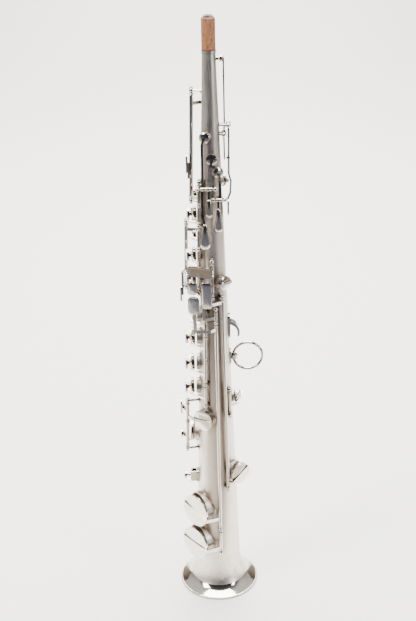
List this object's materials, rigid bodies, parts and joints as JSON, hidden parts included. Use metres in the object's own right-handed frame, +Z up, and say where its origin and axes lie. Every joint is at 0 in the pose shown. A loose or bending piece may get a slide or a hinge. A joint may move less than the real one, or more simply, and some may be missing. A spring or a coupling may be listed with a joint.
{
  "type": "straight soprano saxophone",
  "caption": "Straight conical soprano saxophone with stack, palm, side and little-finger keys, octave key, corked tenon and flared bell.",
  "frame": {"origin": "centre of the bell mouth, on the plane the bell stands on", "axes": "+Z up the tube to the mouthpiece end; -Y the front with the key stacks; +Y the player's side with thumb hook and octave key; +X the player's left"},
  "size_m": [0.0884, 0.0961, 0.64],
  "materials": {
    "satin_silver": "sandblasted satin silver plate",
    "polished_silver": "polished silver plate",
    "steel": "blued and turned steel",
    "pad_leather": "tan kid leather over felt",
    "nacre": "mother of pearl",
    "cork": "waxed cork"
  },
  "bodies": {
    "instrument_body": {"bell_flare": "satin_silver", "bell_rim": "polished_silver", "body_tube": "satin_silver", "hinge_posts": "polished_silver", "hinge_steels": "steel", "lever_saddles": "polished_silver", "lyre_socket": "polished_silver", "needle_springs": "steel", "octave_vent_pip": "polished_silver", "strap_saddle": "polished_silver", "tenon_cork": "cork", "thumb_hook": "polished_silver", "tone_hole_chimneys": "satin_silver"},
    "low_b_flat_lever": {"low_b_flat_key": "polished_silver", "low_b_flat_pad": "pad_leather"},
    "low_b_lever": {"low_b_key": "polished_silver", "low_b_pad": "pad_leather"},
    "low_c_sharp_lever": {"low_c_sharp_key": "polished_silver", "low_c_sharp_pad": "pad_leather"},
    "low_c_lever": {"low_c_key": "polished_silver", "low_c_pad": "pad_leather"},
    "low_e_flat_lever": {"low_e_flat_key": "polished_silver", "low_e_flat_pad": "pad_leather"},
    "fork_e_flat_lever": {"fork_e_flat_key": "polished_silver", "fork_e_flat_pad": "pad_leather"},
    "d_lever": {"d_key": "polished_silver", "d_pad": "pad_leather", "d_pearl": "nacre"},
    "e_lever": {"e_key": "polished_silver", "e_pad": "pad_leather", "e_pearl": "nacre"},
    "f_lever": {"f_key": "polished_silver", "f_pad": "pad_leather", "f_pearl": "nacre"},
    "f_sharp_lever": {"f_sharp_key": "polished_silver", "f_sharp_pad": "pad_leather"},
    "g_sharp_lever": {"g_sharp_key": "polished_silver", "g_sharp_pad": "pad_leather"},
    "g_lever": {"g_key": "polished_silver", "g_pad": "pad_leather", "g_pearl": "nacre"},
    "a_lever": {"a_key": "polished_silver", "a_pad": "pad_leather", "a_pearl": "nacre"},
    "bis_lever": {"bis_key": "polished_silver"},
    "b_lever": {"b_key": "polished_silver", "b_pad": "pad_leather", "b_pearl": "nacre"},
    "c_lever": {"c_key": "polished_silver", "c_pad": "pad_leather"},
    "side_b_flat_lever": {"side_b_flat_key": "polished_silver"},
    "side_c_lever": {"side_c_key": "polished_silver"},
    "high_e_lever": {"high_e_key": "polished_silver"},
    "high_d_lever": {"high_d_key": "polished_silver"},
    "high_e_flat_lever": {"high_e_flat_key": "polished_silver"},
    "high_f_lever": {"high_f_key": "polished_silver"},
    "octave_vent_lever": {"octave_vent_key": "polished_silver"},
    "octave_thumb_lever": {"octave_thumb_key": "polished_silver"},
    "strap_ring_body": {"strap_ring": "polished_silver"},
    "lyre_screw_body": {"lyre_screw": "polished_silver"}
  },
  "joints": [
    {"name": "low_b_flat_hinge", "type": "hinge", "parent": "instrument_body", "child": "low_b_flat_lever", "pos_m": [0.02817, 0.00246, 0.069], "axis": [-0.031, -0.0027, 0.9995], "range_deg": [-12, 0], "stiffness_Nm_per_rad": 0.12},
    {"name": "low_b_hinge", "type": "hinge", "parent": "instrument_body", "child": "low_b_lever", "pos_m": [0.02381, 0.00208, 0.2095], "axis": [-0.031, -0.0027, 0.9995], "range_deg": [-12, 0], "stiffness_Nm_per_rad": 0.12},
    {"name": "low_c_sharp_hinge", "type": "hinge", "parent": "instrument_body", "child": "low_c_sharp_lever", "pos_m": [0.02019, 0.01029, 0.2495], "axis": [0.0277, 0.0141, -0.9995], "range_deg": [-24, 0], "stiffness_Nm_per_rad": 0.05},
    {"name": "low_c_hinge", "type": "hinge", "parent": "instrument_body", "child": "low_c_lever", "pos_m": [0.00552, -0.03133, 0.1964], "axis": [-0.0054, 0.0307, 0.9995], "range_deg": [-11, 0], "stiffness_Nm_per_rad": 0.05},
    {"name": "low_e_flat_hinge", "type": "hinge", "parent": "instrument_body", "child": "low_e_flat_lever", "pos_m": [0.00538, -0.0305, 0.2234], "axis": [0.0054, -0.0307, -0.9995], "range_deg": [0, 8.53], "stiffness_Nm_per_rad": 0.05},
    {"name": "fork_e_flat_hinge", "type": "hinge", "parent": "instrument_body", "child": "fork_e_flat_lever", "pos_m": [0.01756, 0.01473, 0.241], "axis": [0.0239, 0.02, -0.9995], "range_deg": [-11, 0], "stiffness_Nm_per_rad": 0.05},
    {"name": "d_hinge", "type": "hinge", "parent": "instrument_body", "child": "d_lever", "pos_m": [0.0198, -0.01053, 0.2505], "axis": [-0.0275, 0.0146, 0.9995], "range_deg": [-7, 0], "stiffness_Nm_per_rad": 0.05},
    {"name": "e_hinge", "type": "hinge", "parent": "instrument_body", "child": "e_lever", "pos_m": [0.01903, -0.01012, 0.2784], "axis": [-0.0275, 0.0146, 0.9995], "range_deg": [-7, 0], "stiffness_Nm_per_rad": 0.05},
    {"name": "f_hinge", "type": "hinge", "parent": "instrument_body", "child": "f_lever", "pos_m": [0.0183, -0.00973, 0.305], "axis": [-0.0275, 0.0146, 0.9995], "range_deg": [-7, 0], "stiffness_Nm_per_rad": 0.05},
    {"name": "f_sharp_hinge", "type": "hinge", "parent": "instrument_body", "child": "f_sharp_lever", "pos_m": [0.01758, -0.00935, 0.3311], "axis": [-0.0275, 0.0146, 0.9995], "range_deg": [-7, 0], "stiffness_Nm_per_rad": 0.05},
    {"name": "g_sharp_hinge", "type": "hinge", "parent": "instrument_body", "child": "g_sharp_lever", "pos_m": [0.01898, -0.00133, 0.382], "axis": [0.0311, -0.0022, -0.9995], "range_deg": [0, 14.02], "stiffness_Nm_per_rad": 0.05},
    {"name": "g_hinge", "type": "hinge", "parent": "instrument_body", "child": "g_lever", "pos_m": [0.01145, -0.01465, 0.3799], "axis": [-0.0192, 0.0245, 0.9995], "range_deg": [-7, 0], "stiffness_Nm_per_rad": 0.05},
    {"name": "a_hinge", "type": "hinge", "parent": "instrument_body", "child": "a_lever", "pos_m": [0.01102, -0.01411, 0.402], "axis": [-0.0192, 0.0245, 0.9995], "range_deg": [-7, 0], "stiffness_Nm_per_rad": 0.05},
    {"name": "bis_hinge", "type": "hinge", "parent": "instrument_body", "child": "bis_lever", "pos_m": [0.01061, -0.01358, 0.4236], "axis": [-0.0192, 0.0245, 0.9995], "range_deg": [-7, 0], "stiffness_Nm_per_rad": 0.05},
    {"name": "b_hinge", "type": "hinge", "parent": "instrument_body", "child": "b_lever", "pos_m": [0.01012, -0.01295, 0.4491], "axis": [-0.0192, 0.0245, 0.9995], "range_deg": [-7, 0], "stiffness_Nm_per_rad": 0.05},
    {"name": "c_hinge", "type": "hinge", "parent": "instrument_body", "child": "c_lever", "pos_m": [0.00974, -0.01246, 0.4691], "axis": [-0.0192, 0.0245, 0.9995], "range_deg": [-7, 0], "stiffness_Nm_per_rad": 0.05},
    {"name": "side_b_flat_hinge", "type": "hinge", "parent": "instrument_body", "child": "side_b_flat_lever", "pos_m": [-0.01576, -0.02731, 0.398], "axis": [0.0156, 0.027, 0.9995], "range_deg": [0, 9.62], "stiffness_Nm_per_rad": 0.05},
    {"name": "side_c_hinge", "type": "hinge", "parent": "instrument_body", "child": "side_c_lever", "pos_m": [-0.01745, 0.00153, 0.4305], "axis": [0.031, -0.0027, 0.9995], "range_deg": [0, 16.57], "stiffness_Nm_per_rad": 0.05},
    {"name": "high_e_hinge", "type": "hinge", "parent": "instrument_body", "child": "high_e_lever", "pos_m": [-0.00885, -0.01897, 0.5135], "axis": [0.0132, 0.0282, 0.9995], "range_deg": [0, 12.29], "stiffness_Nm_per_rad": 0.05},
    {"name": "high_d_hinge", "type": "hinge", "parent": "instrument_body", "child": "high_d_lever", "pos_m": [0.017, -0.0086, 0.477], "axis": [0, 1, 0], "range_deg": [0, 3.44], "stiffness_Nm_per_rad": 0.05},
    {"name": "high_e_flat_hinge", "type": "hinge", "parent": "instrument_body", "child": "high_e_flat_lever", "pos_m": [0.017, -0.0027, 0.477], "axis": [0, 1, 0], "range_deg": [0, 5.94], "stiffness_Nm_per_rad": 0.05},
    {"name": "high_f_hinge", "type": "hinge", "parent": "instrument_body", "child": "high_f_lever", "pos_m": [0.017, 0.007, 0.466], "axis": [0, 1, 0], "range_deg": [0, 6.5], "stiffness_Nm_per_rad": 0.05},
    {"name": "octave_vent_hinge", "type": "hinge", "parent": "instrument_body", "child": "octave_vent_lever", "pos_m": [0, 0.0132, 0.528], "axis": [-1, 0, 0], "range_deg": [0, 2.6], "stiffness_Nm_per_rad": 0.05},
    {"name": "octave_thumb_hinge", "type": "hinge", "parent": "instrument_body", "child": "octave_thumb_lever", "pos_m": [0, 0.0176, 0.537], "axis": [-1, 0, 0], "range_deg": [0, 2], "stiffness_Nm_per_rad": 0.05},
    {"name": "strap_ring_swing", "type": "hinge", "parent": "instrument_body", "child": "strap_ring_body", "pos_m": [0, 0.0202, 0.287], "axis": [0, 0, 1], "range_deg": [-60, 60]},
    {"name": "lyre_screw_turn", "type": "hinge", "parent": "instrument_body", "child": "lyre_screw_body", "pos_m": [0, -0.03007, 0.14], "axis": [0, -1, 0], "continuous": true}
  ],
  "couplings": [
    {"joint": "c_hinge", "follows": "b_hinge", "ratio": 1},
    {"joint": "bis_hinge", "follows": "a_hinge", "ratio": 1},
    {"joint": "f_sharp_hinge", "follows": "f_hinge", "ratio": 1},
    {"joint": "fork_e_flat_hinge", "follows": "d_hinge", "ratio": 1.5714},
    {"joint": "octave_vent_hinge", "follows": "octave_thumb_hinge", "ratio": 1.3}
  ]
}
